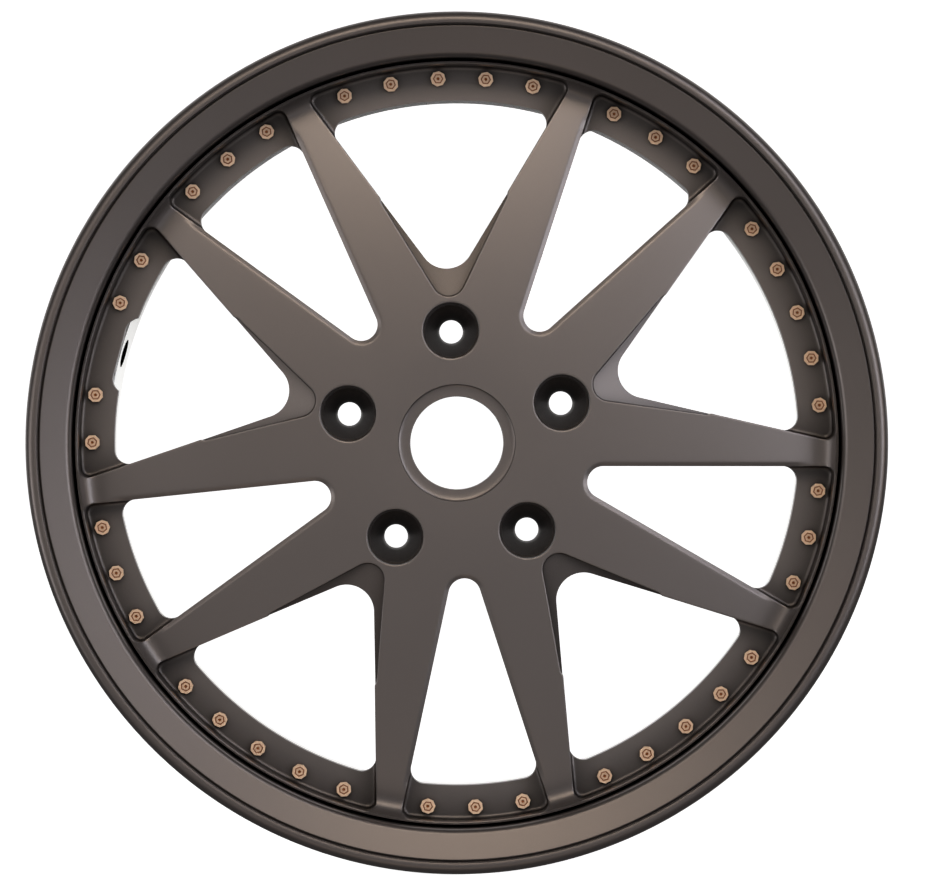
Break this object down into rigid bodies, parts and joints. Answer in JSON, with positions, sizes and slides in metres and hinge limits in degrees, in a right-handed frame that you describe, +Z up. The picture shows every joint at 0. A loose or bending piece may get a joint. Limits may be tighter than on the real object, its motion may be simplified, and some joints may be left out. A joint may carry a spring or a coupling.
{
  "type": "scooter wheel rim",
  "caption": "Bolt-together scooter wheel rim: a dark spoked centre disc with a ring of copper-coloured bolts round its spoke ends, a deep front lip and a bare rear barrel.",
  "frame": {"origin": "on the wheel's axis, midway between the two tyre flanges", "axes": "+Y along the axis towards the vehicle, so that the front faces -Y; +Z up; the valve notch is up and to the left as seen from the front"},
  "size_m": [0.332, 0.1128, 0.332],
  "materials": {
    "coated_aluminium_disc": "satin dark coating",
    "coated_aluminium_rim": "satin dark coating",
    "bare_aluminium_barrel": "turned and left bare",
    "seal_rubber": "matte",
    "copper_plated_steel": "satin copper plating",
    "zinc_plated_steel": "satin zinc plating"
  },
  "bodies": {
    "root": {"centre_disc": "coated_aluminium_disc", "front_rim_half": "coated_aluminium_rim", "rear_rim_half": "bare_aluminium_barrel", "rim_seal": "seal_rubber", "bolts_valve_window_lower": "copper_plated_steel", "bolts_valve_window_upper": "copper_plated_steel", "bolts_wide_window_1": "copper_plated_steel", "bolts_wide_window_2": "copper_plated_steel", "bolts_wide_window_3": "copper_plated_steel", "bolts_wide_window_4": "copper_plated_steel", "bolts_narrow_window_1": "copper_plated_steel", "bolts_narrow_window_2": "copper_plated_steel", "bolts_narrow_window_3": "copper_plated_steel", "bolts_narrow_window_4": "copper_plated_steel", "bolts_narrow_window_5": "copper_plated_steel", "nuts_valve_window_lower": "zinc_plated_steel", "nuts_valve_window_upper": "zinc_plated_steel", "nuts_wide_window_1": "zinc_plated_steel", "nuts_wide_window_2": "zinc_plated_steel", "nuts_wide_window_3": "zinc_plated_steel", "nuts_wide_window_4": "zinc_plated_steel", "nuts_narrow_window_1": "zinc_plated_steel", "nuts_narrow_window_2": "zinc_plated_steel", "nuts_narrow_window_3": "zinc_plated_steel", "nuts_narrow_window_4": "zinc_plated_steel", "nuts_narrow_window_5": "zinc_plated_steel"}
  },
  "joints": []
}
